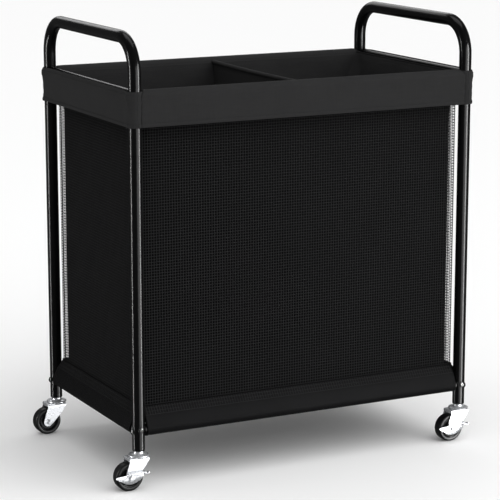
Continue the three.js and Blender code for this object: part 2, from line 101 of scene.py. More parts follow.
def add_camera():
    data = bpy.data.cameras.new("camera")
    data.sensor_width, data.lens = 36, 150.6
    camera = bpy.data.objects.new("camera", data)
    bpy.context.scene.collection.objects.link(camera)
    turn, tilt, distance = math.radians(26.98), math.radians(11.84), 3.84
    aim = Vector((-0.0027, -0.0072, 0.358))
    looking = Vector((math.sin(turn) * math.cos(tilt), math.cos(turn) * math.cos(tilt), -math.sin(tilt)))
    camera.location = aim - distance * looking
    camera.rotation_euler = (math.pi / 2 - tilt, 0, -turn)
    data.clip_end = 100
    bpy.context.scene.camera = camera


# ---------- mesh building ----------

class Shape:
    """Points and faces gathered from several closed surfaces."""

    def __init__(self):
        self.points = []
        self.faces = []

    def add(self, surface):
        points, faces = surface
        base = len(self.points)
        self.points.extend(tuple(map(float, p)) for p in points)
        self.faces.extend(tuple(i + base for i in face) for face in faces)
        return self


def piece(name, shape, material, body="cart", sharp=40, replaces=()):
    """A mesh riding on a body; sharp is the angle above which an edge stays crisp, 0 for none."""
    mesh = bpy.data.meshes.new(name)
    mesh.from_pydata(shape.points, [], shape.faces)
    mesh.update()
    mesh.materials.append(MATERIALS[material])
    mesh.shade_smooth()
    if sharp:
        mesh.set_sharp_from_angle(angle=math.radians(sharp))
    obj = bpy.data.objects.new(name, mesh)
    bpy.context.scene.collection.objects.link(obj)
    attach(obj, body)
    if replaces:
        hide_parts(*replaces)
    return obj


def loft(rings, caps=True, wrap=False):
    """A surface through rings of equal length; wrap joins the last ring to the first."""
    count = len(rings[0])
    points = np.concatenate([np.asarray(ring, float) for ring in rings])
    faces = []
    last = len(rings) if wrap else len(rings) - 1
    for i in range(last):
        a, b = i * count, ((i + 1) % len(rings)) * count
        for k in range(count):
            n = (k + 1) % count
            faces.append((a + k, a + n, b + n, b + k))
    if caps and not wrap:
        end = (len(rings) - 1) * count
        faces.append(tuple(range(count))[::-1])
        faces.append(tuple(end + k for k in range(count)))
    return points, faces


def circle(sides, phase=0.0):
    angles = (np.arange(sides) + phase) / sides * TAU
    return np.stack([np.cos(angles), np.sin(angles)], 1)


def sweep(path, radii, sides=32):
    """A round tube along a smooth path, closed at both ends."""
    path = np.asarray(path, float)
    radii = np.broadcast_to(radii, len(path))
    along = np.gradient(path, axis=0)
    along /= np.linalg.norm(along, axis=1)[:, None]
    side = np.cross(along[0], (0.3, 0.5, 0.81))
    rings = []
    for point, way, radius in zip(path, along, radii):
        side = side - way * side.dot(way)
        side /= np.linalg.norm(side)
        up = np.cross(way, side)
        ring = circle(sides)
        rings.append(point + radius * (ring[:, :1] * side + ring[:, 1:] * up))
    return loft(rings)


def hoop(path, outs, radius, sides=8, flat=1.0):
    """A closed cord along a loop of points, given the outward direction at each."""
    path, outs = np.asarray(path, float), np.asarray(outs, float)
    along = np.roll(path, -1, 0) - np.roll(path, 1, 0)
    along /= np.linalg.norm(along, axis=1)[:, None]
    across = np.cross(along, outs)
    ring = circle(sides)
    rings = [p + radius * (ring[:, :1] * o * flat + ring[:, 1:] * a) for p, o, a in zip(path, outs, across)]
    return loft(rings, wrap=True)


def turned(profile, sides=32, hexed=()):
    """A profile of (radius, height) points turned round Z; on-axis ends become points, other
    profiles close on themselves. Rings whose index is in hexed are hexagons."""
    ring = circle(sides, 0.5)
    angle = np.arctan2(ring[:, 1], ring[:, 0])
    hexagon = math.cos(math.pi / 6) / np.cos(angle % (math.pi / 3) - math.pi / 6)
    rings = []
    for i, (radius, height) in enumerate(profile):
        scale = radius * (hexagon if i in hexed else np.ones(sides))
        rings.append(np.column_stack([ring * scale[:, None], np.full(sides, height)]))
    if profile[0][0] > 0:
        points, faces = loft(rings, wrap=True)
        return points, [face[::-1] for face in faces]
    points, faces = loft(rings[1:-1], caps=False)
    total = len(points)
    points = np.vstack([points, (0, 0, profile[0][1]), (0, 0, profile[-1][1])])
    top = total - sides
    for k in range(sides):
        n = (k + 1) % sides
        faces.append((total, n, k))
        faces.append((total + 1, top + k, top + n))
    if profile[0][1] > profile[-1][1]:
        faces = [face[::-1] for face in faces]
    return points, faces


def placed(surface, axis="z", at=(0, 0, 0), flip=False):
    """A surface made along +Z, turned to lie along an axis and moved."""
    points, faces = surface
    points = np.array(points, float)
    if flip:
        points = points * (1, -1, -1)
    x, y, z = points.T
    if axis == "x":
        points = np.stack([z, x, y], 1)
    if axis == "y":
        points = np.stack([y, z, x], 1)
    return points + np.asarray(at, float), faces


def thick_grid(outer, inner, closed=False):
    """A sheet between two grids of the same shape; closed joins the last column to the first."""
    rows, columns = outer.shape[:2]
    points = np.concatenate([outer.reshape(-1, 3), inner.reshape(-1, 3)])
    half = rows * columns
    faces = []
    run = columns if closed else columns - 1
    for i in range(rows - 1):
        for j in range(run):
            n = (j + 1) % columns
            a, b = i * columns + j, i * columns + n
            c, d = b + columns, a + columns
            faces.append((a, b, c, d))
            faces.append((half + d, half + c, half + b, half + a))
    for j in range(run):
        n = (j + 1) % columns
        top = (rows - 1) * columns
        faces.append((half + j, half + n, n, j))
        faces.append((top + j, top + n, half + top + n, half + top + j))
    if not closed:
        for i in range(rows - 1):
            a, b = i * columns, (i + 1) * columns
            faces.append((a, b, half + b, half + a))
            a, b = a + columns - 1, b + columns - 1
            faces.append((half + a, half + b, b, a))
    return points, faces


def grid_normals(grid, closed=False):
    if closed:
        across = np.roll(grid, -1, axis=1) - np.roll(grid, 1, axis=1)
    else:
        across = np.gradient(grid, axis=1)
    normals = np.cross(across, np.gradient(grid, axis=0))
    length = np.linalg.norm(normals, axis=2, keepdims=True)
    return normals / np.maximum(length, 1e-12)


def cloth_grid(grid, thickness, closed=False, lift=None):
    """A cloth of that thickness whose outer face is the grid, pushed out by lift."""
    normals = grid_normals(grid, closed)
    if lift is not None:
        grid = grid + normals * lift[..., None]
    return thick_grid(grid, grid - normals * thickness, closed)


def rounded_slab(outline, low, high, edge=0.4 * MM):
    """A plate in the XY plane with softened edges; the outline runs anticlockwise."""
    outline = np.asarray(outline, float)
    step = np.roll(outline, -1, 0) - np.roll(outline, 1, 0)
    inward = np.stack([-step[:, 1], step[:, 0]], 1)
    inward /= np.linalg.norm(inward, axis=1)[:, None]
    rings = []
    for sign, face in ((1, low), (-1, high)):
        turns = (90, 45, 0) if sign > 0 else (0, 45, 90)
        for angle in np.radians(turns):
            ring = outline + inward * edge * (1 - math.cos(angle))
            rise = sign * edge * (1 - math.sin(angle))
            rings.append(np.column_stack([ring, np.full(len(ring), face + rise)]))
    return loft(rings)


def upright(surface):
    """A slab drawn in (x, z) and thickened along y: turns (x, y, z) into (x, z, y)."""
    points, faces = surface
    return np.asarray(points)[:, [0, 2, 1]], [face[::-1] for face in faces]


def mirrored_y(surface, side):
    """The surface itself, or its mirror image across y = 0 when side is negative."""
    points, faces = surface
    return np.asarray(points) * (1, side, 1), ([face[::-1] for face in faces] if side < 0 else faces)


def in_mm(*points):
    """Points given in millimetres, as tuples in metres."""
    return [tuple(value * MM for value in point) for point in points]


def arc(cx, cy, radius, start, end, steps):
    angles = np.radians(np.linspace(start, end, steps + 1))
    return np.stack([cx + radius * np.cos(angles), cy + radius * np.sin(angles)], 1)


def wander(points, scale, seed):
    """Smooth noise from -1 to 1 at each point of a grid, with features of about 1 / scale."""
    flat = points.reshape(-1, 3) * scale + seed
    values = [noise.noise(Vector(p)) for p in flat]
    return np.array(values).reshape(points.shape[:-1])


def smoothstep(low, high, value):
    t = np.clip((value - low) / (high - low), 0, 1)
    return t * t * (3 - 2 * t)


def ridge(value, at, width):
    return np.exp(-((value - at) / width) ** 2)


# ---------- materials ----------

def principled(name, color, roughness, metallic=0.0, **sockets):
    material = bpy.data.materials.new(name)
    material.use_nodes = True
    shader = material.node_tree.nodes["Principled BSDF"]
    shader.inputs["Base Color"].default_value = (*color, 1)
    shader.inputs["Roughness"].default_value = roughness
    shader.inputs["Metallic"].default_value = metallic
    for socket, value in sockets.items():
        shader.inputs[socket.replace("_", " ")].default_value = value
    return material, material.node_tree, shader


def fill(tree, socket, value):
    """Give a socket its constant, or link it to the output that feeds it."""
    if isinstance(value, bpy.types.NodeSocket):
        tree.links.new(value, socket)
    else:
        socket.default_value = value


def add_node(tree, kind, settings=(), **sockets):
    node = tree.nodes.new(kind)
    for key, value in dict(settings).items():
        setattr(node, key, value)
    for socket, value in sockets.items():
        fill(tree, node.inputs[socket.replace("_", " ")], value)
    return node


def noise_texture(tree, scale, detail=2.0, stretch=(1, 1, 1)):
    place = tree.nodes.new("ShaderNodeTexCoord").outputs["Object"]
    mapped = add_node(tree, "ShaderNodeMapping", Vector=place, Scale=stretch).outputs["Vector"]
    texture = add_node(tree, "ShaderNodeTexNoise", Vector=mapped, Scale=scale, Detail=detail)
    return texture.outputs["Fac"]


def spread(tree, source, low, high):
    """A pattern's middle range stretched from low to high."""
    node = add_node(tree, "ShaderNodeMapRange", Value=source, To_Min=low, To_Max=high,
                    From_Min=0.25, From_Max=0.75)
    return node.outputs["Result"]


def tint(tree, shader, source, color, variation):
    """The base colour lightened and darkened by a pattern."""
    ramp = add_node(tree, "ShaderNodeValToRGB", Fac=source)
    for element, factor in zip(ramp.color_ramp.elements, (1 - variation, 1 + variation)):
        element.color = (*(channel * factor for channel in color), 1)
    fill(tree, shader.inputs["Base Color"], ramp.outputs["Color"])


def bump(tree, shader, source, strength, distance=0.1 * MM):
    node = add_node(tree, "ShaderNodeBump", Height=source, Strength=strength, Distance=distance)
    fill(tree, shader.inputs["Normal"], node.outputs["Normal"])


def powder_coat():
    """Black powder coat: dark, slightly uneven, with a soft sheen."""
    color = (0.0024, 0.0024, 0.0026)
    material, tree, shader = principled("black_powder_coat", color, 0.22, Specular_IOR_Level=0.16)
    bump(tree, shader, noise_texture(tree, 420, 3), 0.012)
    fill(tree, shader.inputs["Roughness"], spread(tree, noise_texture(tree, 60), 0.19, 0.25))
    tint(tree, shader, noise_texture(tree, 25), color, 0.2)
    return material


def zinc_plate():
    """Bright zinc plating: part mirror, part pale haze."""
    color = (0.52, 0.53, 0.55)
    material, tree, shader = principled("zinc_plate", color, 0.28, metallic=0.6)
    tint(tree, shader, noise_texture(tree, 220, 4), color, 0.07)
    fill(tree, shader.inputs["Roughness"], spread(tree, noise_texture(tree, 300, 3), 0.24, 0.34))
    bump(tree, shader, noise_texture(tree, 900, 2, (1, 1, 0.12)), 0.04)
    return material


def moulded(name, color, roughness, grain=1200, gloss=0.2):
    material, tree, shader = principled(name, color, roughness, Specular_IOR_Level=gloss)
    tint(tree, shader, noise_texture(tree, 90, 3), color, 0.25)
    haze = spread(tree, noise_texture(tree, 150, 3), roughness - 0.05, roughness + 0.05)
    fill(tree, shader.inputs["Roughness"], haze)
    bump(tree, shader, noise_texture(tree, grain, 2), 0.05)
    return material


def wave(tree, axis, pitch):
    """Fine parallel ribs across an axis, one to each pitch; at scale 1 the texture has 20 to TAU."""
    place = tree.nodes.new("ShaderNodeTexCoord").outputs["Object"]
    texture = add_node(tree, "ShaderNodeTexWave", {"bands_direction": axis}, Vector=place,
                       Scale=TAU / (20 * pitch), Distortion=0.6, Detail=1.0, Detail_Scale=2.0)
    return texture.outputs["Fac"]


def mixed(tree, operation, a, b):
    node = add_node(tree, "ShaderNodeMath", {"operation": operation})
    for socket, value in zip(node.inputs, (a, b)):
        fill(tree, socket, value)
    return node.outputs["Value"]


def woven(name, color, roughness=0.85, pitch=0.0007, gloss=0.03, variation=0.18, relief=0.0002):
    """Plain-weave cloth: ribs both ways as relief, with slubs and soft tone changes."""
    material, tree, shader = principled(
        name, color, roughness, Sheen_Weight=0.02, Sheen_Roughness=0.45, Specular_IOR_Level=gloss
    )
    upright_ribs = mixed(tree, "ADD", wave(tree, "X", pitch), wave(tree, "Y", pitch))
    weave = mixed(tree, "ADD", upright_ribs, wave(tree, "Z", pitch))
    bump(tree, shader, weave, 0.35, relief)
    across, along = (noise_texture(tree, 700, 2, stretch) for stretch in ((1, 1, 0.06), (0.06, 0.06, 1)))
    slubs = mixed(tree, "ADD", across, along)
    blotches = mixed(tree, "ADD", slubs, noise_texture(tree, 14, 3))
    mean = mixed(tree, "MULTIPLY", blotches, 1 / 3)
    tint(tree, shader, spread(tree, mean, 0, 1), color, variation)
    return material


MATERIALS = {}


def add_materials():
    MATERIALS.update(
        tube=powder_coat(),
        zinc=zinc_plate(),
        plastic=moulded("black_plastic", (0.006, 0.006, 0.006), 0.42),
        tyre=moulded("black_tyre", (0.005, 0.005, 0.0055), 0.36, 700),
        hub=moulded("black_hub", (0.004, 0.004, 0.0045), 0.25),
        bolt=moulded("black_screw", (0.006, 0.006, 0.0065), 0.2, gloss=0.9),
        band=woven("band_cloth", (0.0208, 0.0208, 0.0212)),
        base=woven("base_cloth", (0.0046, 0.0046, 0.0049), 0.5, gloss=0.02),
        lining=woven("lining_cloth", (0.0020, 0.0020, 0.0022), 0.8),
        net=woven("net_cord", (0.0205, 0.0205, 0.021), 0.75, pitch=0.0004, relief=0.0001),
        thread=woven("sewing_thread", (0.016, 0.016, 0.0165), 0.6, pitch=0.0004, relief=0.0001),
    )


# ---------- tube frame ----------

def post(corner):
    x, y = POST[corner].xy
    bore = TUBE - WALL
    rim = 0.4 * MM
    profile = [
        (bore, JOINT_Z), (bore, POST_FOOT + rim), (bore + rim, POST_FOOT),
        (TUBE - rim, POST_FOOT), (TUBE, POST_FOOT + rim), (TUBE, JOINT_Z),
    ]
    shape = Shape().add(placed(turned(profile, 48), at=(x, y, 0)))
    piece(f"tube_{corner}", shape, "tube", replaces=[f"post_{corner}"])


def handle(end):
    x = CENTRE.x + ENDS[end] * HALF_X
    axis_z = HANDLE_TOP - TUBE
    flat = HALF_Y - HANDLE_BEND
    spigot = JOINT_Z - 40 * MM
    front, back = CENTRE.y - HALF_Y, CENTRE.y + HALF_Y
    turn_z = axis_z - HANDLE_BEND
    rise = [(front, z) for z in np.linspace(JOINT_Z + MM, turn_z - 4 * MM, 6)]
    first = arc(CENTRE.y - flat, turn_z, HANDLE_BEND, 180, 90, 20)
    second = arc(CENTRE.y + flat, turn_z, HANDLE_BEND, 90, 0, 20)
    across = [(y, axis_z) for y in np.linspace(CENTRE.y - flat, CENTRE.y + flat, 8)[1:-1]]
    fall = [(back, z) for _, z in rise[::-1]]
    foot = [(front, spigot), (front, spigot + MM), (front, JOINT_Z - 0.2 * MM), (front, JOINT_Z)]
    path = [*foot, *rise, *first, *across, *second, *fall, *((back, z) for _, z in foot[::-1])]
    snug = TUBE - WALL - 0.3 * MM
    ends = [snug - 0.5 * MM, snug, snug, TUBE]
    radii = [*ends, *[TUBE] * (len(path) - 8), *ends[::-1]]
    points = [(x, y, z) for y, z in path]
    shape = Shape().add(sweep(points, radii, 48))
    piece(f"bent_handle_{end}", shape, "tube", replaces=[f"handle_{end}"])


def crossbar(end):
    x = CENTRE.x + ENDS[end] * HALF_X
    reach = HALF_Y - TUBE + WALL
    path = [(x, CENTRE.y + y, CROSSBAR.z) for y in np.linspace(-reach, reach, 6)]
    shape = Shape().add(sweep(path, CROSSBAR_RADIUS, 32))
    piece(f"end_bar_{end}", shape, "tube", replaces=[f"crossbar_{end}"])


def saddle_bead(axis, way):
    """The rolled rim of a rail's end, on the saddle line where it seats against a post."""
    side, up = np.cross(way, (0, 0, 1)), np.array((0, 0, 1.0))
    line, outs = [], []
    for turn in np.arange(40) / 40 * TAU:
        out = side * math.sin(turn) + up * math.cos(turn)
        across = (RAIL - 0.4 * MM) * math.sin(turn)
        line.append(axis + way * math.sqrt(TUBE ** 2 - across ** 2) + out * (RAIL - 0.4 * MM))
        outs.append(out)
    return hoop(line, outs, 0.9 * MM)


def rail(name, start, end, node):
    """A rail between two posts, its ends shaped to seat against the tubes."""
    start, end = Vector(start), Vector(end)
    way = (end - start).normalized()
    length = (end - start).length
    stops = [TUBE - 1.3 * MM, TUBE + 2 * MM, TUBE + 6 * MM]
    radii = [RAIL - 0.6 * MM, RAIL - 0.5 * MM, RAIL - 0.1 * MM]
    stops = [*stops, *[length - stop for stop in stops[::-1]]]
    path = [start + way * stop for stop in stops]
    shape = Shape().add(sweep(path, [*radii, *radii[::-1]], 40))
    for post_axis, inward in ((start, way), (end, -way)):
        shape.add(saddle_bead(np.array(post_axis), np.array(inward)))
    piece(name, shape, "tube", replaces=[node])


def add_rails():
    left, right = CENTRE.x - HALF_X, CENTRE.x + HALF_X
    front, back = CENTRE.y - HALF_Y, CENTRE.y + HALF_Y
    for side, y in (("front", front), ("back", back)):
        rail(f"lower_rail_{side}", (left, y, LONG_RAIL.z), (right, y, LONG_RAIL.z), f"bottom_rail_{side}")
        rail(f"upper_rail_{side}", (left, y, TOP_RAIL.z), (right, y, TOP_RAIL.z), f"top_rail_{side}")
    for end, x in (("left", left), ("right", right)):
        rail(f"lower_rail_{end}", (x, front, SHORT_RAIL.z), (x, back, SHORT_RAIL.z), f"bottom_rail_{end}")


def bolt(name, node, axis, outward, at):
    """A button-head bolt with a hexagon socket; outward is the head's direction on its axis."""
    head, height, socket, shank = 5.2 * MM, 3.0 * MM, 1.9 * MM, 1.9 * MM
    seat = TUBE + 0.1 * MM
    top, tip = seat + height, seat - 2 * TUBE - 19 * MM
    profile = [(0, top - 1.8 * MM), (socket, top - 1.8 * MM), (socket, top), (socket + 0.5 * MM, top)]
    for angle in np.radians((25, 45, 65, 80)):
        profile.append((head * math.sin(angle), seat + 0.5 * MM + (height - 0.5 * MM) * math.cos(angle)))
    profile += [(head, seat + 0.6 * MM), (head - 0.4 * MM, seat), (shank, seat), (shank, tip), (0, tip)]
    shape = Shape().add(placed(turned(profile, 36, hexed=(1, 2)), axis, at, flip=outward < 0))
    piece(name, shape, "bolt", sharp=35, replaces=[node])


def add_bolts():
    for corner, (side_x, side_y) in CORNERS.items():
        for rail_kind, axis, side in (("long", "x", side_x), ("short", "y", side_y), ("top", "x", side_x)):
            node = f"{rail_kind}_rail_bolt_{corner}"
            at = (*POST[corner].xy, middle(node).z)
            bolt(f"rail_screw_{rail_kind}_{corner}", node, axis, side, at)


# ---------- casters ----------

SHEET = 2 * MM
FORK_OUTER = 14 * MM
LEG_END = 8.5 * MM


def leg_edges(z):
    """The fork leg's rear and front x at a height, from the swivel axis."""
    centre_x, centre_z = -TRAIL - 2 * MM, WHEEL_RADIUS
    chord = math.sqrt(max(LEG_END ** 2 - (z - centre_z) ** 2, 0))
    tangent_z = centre_z + 2 * MM
    rear = centre_x - chord
    if z > tangent_z:
        rear = centre_x - 8.26 * MM + 0.33 * (z - tangent_z)
    front_z = centre_z - 6 * MM
    front = centre_x + chord
    if z > front_z:
        lower = centre_x + 6 * MM + (z - front_z)
        upper = centre_x + 27.9 * MM + 0.62 * (z - front_z - 21.5 * MM)
        front = (lower + upper - math.hypot(lower - upper, MM)) / 2
    return rear, front


def fork_section():
    """Heights and offsets across the fork, from one leg's tip over the crown to the other's."""
    centre_z = WHEEL_RADIUS
    bend = 3 * MM
    top = CROWN_TOP - 0.3 * MM
    tip = [centre_z - LEG_END * math.cos(math.radians(a)) for a in (14, 30, 45, 60, 75, 90, 103)]
    rise = list(np.linspace(centre_z + 3 * MM, top - bend, 10))
    leg = [(-FORK_OUTER, z, 1.0, 0.0) for z in tip + rise]
    for turn in np.radians((30, 60, 90)):
        y = -FORK_OUTER + bend * (1 - math.cos(turn))
        leg.append((y, top - bend * (1 - math.sin(turn)), math.cos(turn), math.sin(turn)))
    return leg + [(-y, z, -c, s) for y, z, c, s in leg[::-1]]


def fork_shell():
    section = fork_section()
    columns = 14
    outer = np.zeros((len(section), columns, 3))
    inner = np.zeros_like(outer)
    for i, (y, z, out, up) in enumerate(section):
        rear, front = leg_edges(min(z, CROWN_TOP - 3 * MM))
        x = np.linspace(rear, front - 1.6 * MM * up, columns)
        outer[i] = np.stack([x, np.full(columns, y), np.full(columns, z)], 1)
        inner[i] = outer[i] + (0, SHEET * out, -SHEET * up)
    return thick_grid(inner, outer)


def rear_lip():
    """The crown's rear edge, turned down over the wheel."""
    bend, top = 2.2 * MM, CROWN_TOP - 0.2 * MM
    back = -TRAIL - 2.4 * MM
    path = [(-8 * MM, top, 0, 1), (back + bend, top, 0, 1)]
    for turn in np.radians((30, 60, 90)):
        path.append((back + bend * (1 - math.sin(turn)), top - bend * (1 - math.cos(turn)),
                     -math.sin(turn), math.cos(turn)))
    path.append((back, CROWN_TOP - 5.5 * MM, -1, 0))
    half = FORK_OUTER - 0.4 * MM
    y = np.linspace(-half, half, 8)
    outer = np.array([[(px, v, pz) for v in y] for px, pz, _, _ in path])
    shift = np.array([[(-nx * SHEET, 0, -nz * SHEET)] * len(y) for _, _, nx, nz in path])
    return thick_grid(outer, outer + shift)


def caster_fork(corner):
    x, y = POST[corner].xy
    shape = Shape()
    for surface in (fork_shell(), rear_lip()):
        shape.add(placed(surface, at=(x, y, 0)))
    obj = piece(f"pressed_fork_{corner}", shape, "zinc", f"fork_{corner}", sharp=30,
                replaces=[f"caster_fork_{corner}"])
    soften(obj, 0.3 * MM)


def soften(obj, width):
    bevel = obj.modifiers.new("softened_edges", "BEVEL")
    bevel.width = width
    bevel.segments = 2
    bevel.limit_method = "ANGLE"
    bevel.angle_limit = math.radians(50)
    bevel.harden_normals = True


def stem(corner):
    """The fixed half: shank in the socket, bearing cup over the crown, rivet head below."""
    x, y = POST[corner].xy
    foot = POST_FOOT - 2.2 * MM
    low, cup = CROWN_TOP - SHEET - 0.4 * MM, CROWN_TOP + 0.3 * MM
    profile = [(0, low - 2.4 * MM), (4.6 * MM, low - 2.4 * MM), (6.2 * MM, low - 1.6 * MM), (6.4 * MM, low),
               (3.9 * MM, low), (3.9 * MM, cup)]
    rim = in_mm((17, 0), (17.8, 0.2), (18.3, 0.8), (18.4, 1.6), (18.1, 2.5), (17.3, 3), (16.4, 2.9),
                (15.6, 2.6), (14.4, 2.9), (12, 3.7), (10.4, 4.3), (9.5, 5), (9, 5.9))
    profile += [(radius, cup + rise) for radius, rise in rim]
    profile += [(9 * MM, foot - 0.4 * MM), (8.6 * MM, foot), (5.4 * MM, foot), (5.4 * MM, 90 * MM),
                (4 * MM, 92 * MM), (0, 92 * MM)]
    shape = Shape().add(placed(turned(profile, 48), at=(x, y, 0)))
    piece(f"stem_and_cup_{corner}", shape, "zinc",
          replaces=[f"caster_stem_{corner}"])
    foot = POST_FOOT - 0.2 * MM
    bore, snug = 5.7 * MM, TUBE - WALL - 0.3 * MM
    profile = [
        (bore, foot + 27 * MM), (bore, foot - 1.3 * MM), (bore + 0.3 * MM, foot - 1.7 * MM),
        (TUBE - 0.4 * MM, foot - 1.7 * MM), (TUBE, foot - 1.3 * MM), (TUBE, foot - 0.3 * MM),
        (TUBE - 0.3 * MM, foot), (snug, foot), (snug, foot + 26 * MM), (snug - MM, foot + 27 * MM),
    ]
    shape = Shape().add(placed(turned(profile, 40), at=(x, y, 0)))
    piece(f"socket_collar_{corner}", shape, "plastic",
          replaces=[f"stem_socket_{corner}"])


def wheel(corner):
    """A tyre pressed on a dished hub."""
    centre = middle(f"wheel_{corner}")
    half_width, shoulder = 10 * MM, 3.2 * MM
    bend = arc(half_width - shoulder, WHEEL_RADIUS - shoulder, shoulder, 0, 90, 6)
    bead = in_mm((17.5, 8.4), (17.9, 9.4), (18.9, 10))
    tyre = [*bead, *((r, h) for h, r in bend), (WHEEL_RADIUS, 2.5 * MM)]
    hub = in_mm((3.3, 11.4), (6.4, 11.4), (7, 10.9), (7.4, 7.4), (8.2, 6.6), (14.6, 6.6),
                (15.4, 7.2), (16, 9.2), (16.7, 9.5), (17.52, 9.1))
    for name, half, sharp, replaces in (("tyre", tyre, 50, []), ("hub", hub, 35, [f"wheel_{corner}"])):
        profile = half + [(r, -h) for r, h in half[::-1]]
        shape = Shape().add(placed(turned(profile[::-1], 64), "y", centre))
        piece(f"{name}_{corner}", shape, name, f"roller_{corner}", sharp, replaces)


def hexagon(seat, height, radius, bore=0.0):
    """A hexagon head or nut on +Z with chamfered corners; bore leaves the thread's end proud."""
    chamfer, top = 0.45 * MM, seat + height
    rings = [(0, seat), (radius - chamfer, seat), (radius, seat + chamfer), (radius, top - chamfer)]
    rings.append((radius - 1.1 * MM, top))
    if bore:
        end = top + 1.2 * MM
        rings += [(bore, top), (bore, end - 0.3 * MM), (bore - 0.4 * MM, end), (0, end)]
    else:
        rings.append((0, top))
    return turned(rings, 48, hexed=(1, 2, 3))


def washer(seat, radius, height):
    return turned([(0, seat), (radius - 0.2 * MM, seat), (radius, seat + height / 2),
                   (radius - 0.2 * MM, seat + height), (0, seat + height)], 40)


def axle(corner):
    centre = middle(f"wheel_{corner}")
    braked = corner.startswith("front")
    side = CORNERS[corner][1]
    head_seat = FORK_OUTER + (2 * MM if braked else 0.1 * MM)
    reach = FORK_OUTER + 2 * MM
    shape = Shape()
    shaft = turned([(0, -reach), (3 * MM, -reach), (3 * MM, reach), (0, reach)], 32)
    shape.add(placed(shaft, "y", centre))
    for sign, seat, bore in ((side, head_seat, 0.0), (-side, FORK_OUTER + 0.1 * MM, 3 * MM)):
        for surface in (washer(seat, 5.6 * MM, 0.8 * MM), hexagon(seat + 0.8 * MM, 3 * MM, 4.8 * MM, bore)):
            shape.add(placed(surface, "y", centre, flip=sign < 0))
    piece(f"axle_and_nut_{corner}", shape, "zinc", f"fork_{corner}", sharp=30,
          replaces=[f"wheel_axle_{corner}"])


def smooth_outline(knots, steps=8):
    """A closed Catmull-Rom curve through the knots, anticlockwise."""
    knots = np.asarray(knots, float)
    before, after, later = np.roll(knots, 1, 0), np.roll(knots, -1, 0), np.roll(knots, -2, 0)
    points = []
    for a, b, c, d in zip(before, knots, after, later):
        for t in np.arange(steps) / steps:
            points.append(0.5 * (2 * b + (c - a) * t + (2 * a - 5 * b + 4 * c - d) * t ** 2
                                 + (3 * b - a - 3 * c + d) * t ** 3))
    return np.array(points)


def rounded_box_outline(low_x, low_y, high_x, high_y, radius):
    corners = [(high_x, high_y, 0), (low_x, high_y, 90), (low_x, low_y, 180), (high_x, low_y, 270)]
    points = []
    for cx, cy, start in corners:
        sx = -1 if cx == high_x else 1
        sy = -1 if cy == high_y else 1
        points.extend(arc(cx + sx * radius, cy + sy * radius, radius, start, start + 90, 5))
    return np.array(points)


def brake_lever(corner):
    """A plate over the wheel's side with a stiffening rib, a ledge to tread on and a cupped tab."""
    inner, thick = FORK_OUTER + 0.3 * MM, 1.6 * MM
    outer = inner + thick
    ledge_z = 9.2 * MM
    outline = in_mm((22.7, 1.9), (16, 5.6), (8, 7), (1.4, 7.3), (-8, 6.2), (-18, 5.2), (-27.4, 4.3),
                    (-29.2, 2.2), (-26, -0.4), (-20, -4), (-13.3, -7.5), (-5.9, -10.3), (2.7, -10.4),
                    (9.5, -8.4), (15, -5.5), (20, -1.8))
    shape = Shape().add(upright(rounded_slab(smooth_outline(outline), inner, outer)))
    ledge = rounded_box_outline(-10 * MM, inner, 25 * MM, outer + 7 * MM, 2.5 * MM)
    tab = rounded_box_outline(21 * MM, outer + 0.4 * MM, 31.4 * MM, outer + 6 * MM, 1.6 * MM)
    for plan, low, high in ((ledge, ledge_z, ledge_z + thick), (tab, 6.2 * MM, 7.8 * MM)):
        shape.add(rounded_slab(plan, low, high, 0.5 * MM))
    lip = rounded_box_outline(28.6 * MM, 6 * MM, 31.4 * MM, 10 * MM, 1.2 * MM)
    step = rounded_box_outline(21 * MM, 6.4 * MM, 25 * MM, ledge_z + 1.4 * MM, 1.2 * MM)
    for block in (lip, step):
        shape.add(upright(rounded_slab(block, outer + 0.4 * MM, outer + 6 * MM)))
    web = rounded_box_outline(-9 * MM, 3 * MM, 22 * MM, ledge_z + thick * 0.9, 1 * MM)
    shape.add(upright(rounded_slab(web, inner + 0.02 * MM, outer + 0.3 * MM, 0.5 * MM)))
    rib = [(x, outer + 0.1 * MM, z) for x, z in smooth_open([(-24, -2), (-16, -1.4), (-8, 2.6), (1.4, 7.3)])]
    shape.add(sweep(rib, 1.1 * MM, 12))
    points, faces = mirrored_y((shape.points, shape.faces), CORNERS[corner][1])
    shape = Shape().add((points + np.array(middle(f"wheel_{corner}")), faces))
    piece(f"brake_pedal_{corner}", shape, "zinc", f"brake_{corner}", sharp=45,
          replaces=[f"brake_lever_{corner}"])


def smooth_open(knots, steps=6):
    """An open polyline through the knots, in mm, with its corners averaged away."""
    knots = np.asarray(knots, float) * MM
    t = np.linspace(0, len(knots) - 1, (len(knots) - 1) * steps + 1)
    fine = np.stack([np.interp(t, range(len(knots)), knots[:, i]) for i in (0, 1)], 1)
    kernel = np.ones(steps) / steps
    padded = np.pad(fine, ((steps // 2, steps - steps // 2 - 1), (0, 0)), "edge")
    return np.stack([np.convolve(padded[:, i], kernel, "valid") for i in (0, 1)], 1)


def add_casters():
    for corner in CORNERS:
        caster_fork(corner)
        stem(corner)
        wheel(corner)
        axle(corner)
        if corner.startswith("front"):
            brake_lever(corner)


# ---------- cloth ----------

CLOTH = 1.2 * MM
FACING_TOP, FACING_END, FACING_SEAM = 684, 545, 552    # the mouth facing's heights, in mm
LINING_TOP = 632 * MM
HEM = 6.8 * MM
SLEEVE_RADIUS = 13.3 * MM


